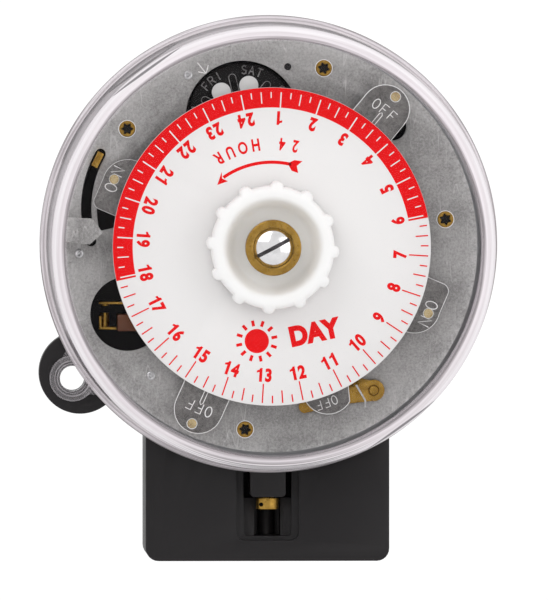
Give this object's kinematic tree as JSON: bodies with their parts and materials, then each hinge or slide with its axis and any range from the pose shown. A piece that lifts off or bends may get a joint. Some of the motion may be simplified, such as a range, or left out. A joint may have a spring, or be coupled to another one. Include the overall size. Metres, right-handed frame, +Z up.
{
  "type": "programmable timer",
  "caption": "Round plug-in programmable timer: clear cover, 24-hour dial with switching tappets and clamp knob, day wheel, and a wall terminal block.",
  "frame": {"origin": "the point of the wall plane where the dial's axis meets it, on the back of the terminal block", "axes": "+Z up, +Y into the wall, so the dial faces -Y; +X is to the right seen from the front"},
  "size_m": [0.1101, 0.075, 0.1315],
  "materials": {
    "black_moulding": "moulded phenolic, fine satin",
    "clear_cover": "clear moulded polycarbonate, polished",
    "gasket_silicone": "translucent silicone, satin",
    "dial_plate_aluminium": "rolled aluminium, mottled and scratched",
    "dial_enamel": "white printed disc with a red night band",
    "knob_white": "white moulded plastic, semi-gloss",
    "brass": "turned brass, satin",
    "bright_steel": "polished plated steel",
    "steel": "drawn steel",
    "tappet_steel": "grey anodised, bright sheared edges",
    "tappet_pin": "pale bronze pin",
    "day_wheel_black": "black moulded plastic with white print",
    "skip_pin_white": "white nylon",
    "nylon_natural": "natural nylon",
    "contact_base_orange": "orange moulded plastic",
    "lever_black": "blackened steel",
    "board_green": "printed circuit board",
    "component_black": "moulded component cases",
    "battery_sleeve": "green shrink sleeve",
    "frame_grey": "grey moulded movement frame"
  },
  "bodies": {
    "wall_block": {"block_housing": "black_moulding", "block_back_plate": "black_moulding", "socket_terminals": "brass", "terminal_screws": "brass"},
    "timer_case": {"base_case": "black_moulding", "sealing_lug": "black_moulding", "contact_pins": "brass", "dial_plate": "dial_plate_aluminium", "plate_pillars": "brass", "plate_rivets": "steel", "time_pointer": "dial_plate_aluminium", "arbor_bush": "brass", "pivot_studs": "steel", "day_detent_spring": "steel", "rocker_stud": "brass", "fixed_contact": "brass", "contact_base": "contact_base_orange", "back_frame": "frame_grey", "frame_screws": "steel", "motor_case": "steel", "circuit_board": "board_green", "board_components": "component_black", "reserve_battery": "battery_sleeve"},
    "seal_screw": {"seal_screw": "brass"},
    "cover_ring": {"cover_gasket": "gasket_silicone"},
    "cover": {"cover_shell": "clear_cover"},
    "dial": {"dial_arbor": "steel", "dial_gear": "brass", "day_finger": "steel", "dial_hub": "nylon_natural", "dial_disc": "dial_enamel", "clamp_washer": "steel", "brass_collar": "brass", "centre_screw": "bright_steel"},
    "lock_knob": {"lock_knob": "knob_white"},
    "on_tappet_1": {"on_tappet_1": "tappet_steel", "on_pin_1": "tappet_pin"},
    "on_tappet_2": {"on_tappet_2": "tappet_steel", "on_pin_2": "tappet_pin"},
    "off_tappet_1": {"off_tappet_1": "tappet_steel", "off_pin_1": "tappet_pin"},
    "off_tappet_2": {"off_tappet_2": "tappet_steel", "off_pin_2": "tappet_pin"},
    "day_wheel": {"day_disc": "day_wheel_black", "day_star": "nylon_natural"},
    "skip_pin_1": {"skip_pin_1": "skip_pin_white"},
    "skip_pin_2": {"skip_pin_2": "skip_pin_white"},
    "skip_pin_3": {"skip_pin_3": "skip_pin_white"},
    "skip_pin_4": {"skip_pin_4": "skip_pin_white"},
    "skip_pin_5": {"skip_pin_5": "skip_pin_white"},
    "skip_pin_6": {"skip_pin_6": "skip_pin_white"},
    "skip_pin_7": {"skip_pin_7": "skip_pin_white"},
    "override_lever": {"override_lever": "lever_black", "override_tip": "brass"},
    "trip_rocker": {"trip_rocker": "brass", "indicator_flag": "tappet_steel", "rocker_spring": "steel"},
    "moving_contact": {"moving_contact": "brass"},
    "idler_wheel": {"idler_wheel": "nylon_natural"},
    "motor_pinion": {"motor_pinion": "nylon_natural"}
  },
  "joints": [
    {"name": "timer_unplug", "type": "slide", "parent": "wall_block", "child": "timer_case", "axis": [0, -1, 0], "range_m": [0, 0.022]},
    {"name": "seal_screw_turn", "type": "hinge", "parent": "timer_case", "child": "seal_screw", "pos_m": [0, -0.029, -0.062], "axis": [0, 0, -1], "range_deg": [0, 720]},
    {"name": "cover_twist", "type": "hinge", "parent": "timer_case", "child": "cover_ring", "pos_m": [0, -0.035, 0], "axis": [0, -1, 0], "range_deg": [0, 35]},
    {"name": "cover_lift", "type": "slide", "parent": "cover_ring", "child": "cover", "axis": [0, -1, 0], "range_m": [0, 0.045]},
    {"name": "dial_turn", "type": "hinge", "parent": "timer_case", "child": "dial", "pos_m": [0, -0.057, 0], "axis": [0, -1, 0], "continuous": true},
    {"name": "idler_turn", "type": "hinge", "parent": "timer_case", "child": "idler_wheel", "pos_m": [0.01973, -0.042, -0.00718], "axis": [0, -1, 0], "continuous": true},
    {"name": "motor_pinion_turn", "type": "hinge", "parent": "timer_case", "child": "motor_pinion", "pos_m": [0.02848, -0.041, 0.00797], "axis": [0, -1, 0], "continuous": true},
    {"name": "lock_knob_turn", "type": "hinge", "parent": "dial", "child": "lock_knob", "pos_m": [0, -0.063, 0], "axis": [0, -1, 0], "range_deg": [0, 180]},
    {"name": "on_tappet_1_set", "type": "hinge", "parent": "dial", "child": "on_tappet_1", "pos_m": [0, -0.055, 0], "axis": [0, -1, 0], "range_deg": [-60, 60]},
    {"name": "on_tappet_2_set", "type": "hinge", "parent": "dial", "child": "on_tappet_2", "pos_m": [0, -0.055, 0], "axis": [0, -1, 0], "range_deg": [-60, 60]},
    {"name": "off_tappet_1_set", "type": "hinge", "parent": "dial", "child": "off_tappet_1", "pos_m": [0, -0.055, 0], "axis": [0, -1, 0], "range_deg": [-60, 60]},
    {"name": "off_tappet_2_set", "type": "hinge", "parent": "dial", "child": "off_tappet_2", "pos_m": [0, -0.055, 0], "axis": [0, -1, 0], "range_deg": [-60, 60]},
    {"name": "day_wheel_turn", "type": "hinge", "parent": "timer_case", "child": "day_wheel", "pos_m": [-0.00682, -0.0486, 0.03075], "axis": [0, -1, 0], "continuous": true},
    {"name": "skip_pin_1_lift", "type": "slide", "parent": "day_wheel", "child": "skip_pin_1", "axis": [0, -1, 0], "range_m": [0, 0.0015]},
    {"name": "skip_pin_2_lift", "type": "slide", "parent": "day_wheel", "child": "skip_pin_2", "axis": [0, -1, 0], "range_m": [0, 0.0015]},
    {"name": "skip_pin_3_lift", "type": "slide", "parent": "day_wheel", "child": "skip_pin_3", "axis": [0, -1, 0], "range_m": [0, 0.0015]},
    {"name": "skip_pin_4_lift", "type": "slide", "parent": "day_wheel", "child": "skip_pin_4", "axis": [0, -1, 0], "range_m": [0, 0.0015]},
    {"name": "skip_pin_5_lift", "type": "slide", "parent": "day_wheel", "child": "skip_pin_5", "axis": [0, -1, 0], "range_m": [0, 0.0015]},
    {"name": "skip_pin_6_lift", "type": "slide", "parent": "day_wheel", "child": "skip_pin_6", "axis": [0, -1, 0], "range_m": [0, 0.0015]},
    {"name": "skip_pin_7_lift", "type": "slide", "parent": "day_wheel", "child": "skip_pin_7", "axis": [0, -1, 0], "range_m": [0, 0.0015]},
    {"name": "override_turn", "type": "hinge", "parent": "timer_case", "child": "override_lever", "pos_m": [-0.01752, -0.048, 0.00901], "axis": [0, -1, 0], "range_deg": [0, 40]},
    {"name": "rocker_tilt", "type": "hinge", "parent": "timer_case", "child": "trip_rocker", "pos_m": [0.02462, -0.0526, -0.03464], "axis": [0, -1, 0], "range_deg": [-6, 0]},
    {"name": "contact_tilt", "type": "hinge", "parent": "timer_case", "child": "moving_contact", "pos_m": [-0.024, -0.0435, -0.0138], "axis": [0, -1, 0], "range_deg": [0, 4]}
  ],
  "couplings": [
    {"joint": "idler_turn", "follows": "dial_turn", "ratio": -4},
    {"joint": "motor_pinion_turn", "follows": "dial_turn", "ratio": 24},
    {"joint": "rocker_tilt", "follows": "override_turn", "ratio": -0.15},
    {"joint": "contact_tilt", "follows": "override_turn", "ratio": 0.1}
  ]
}
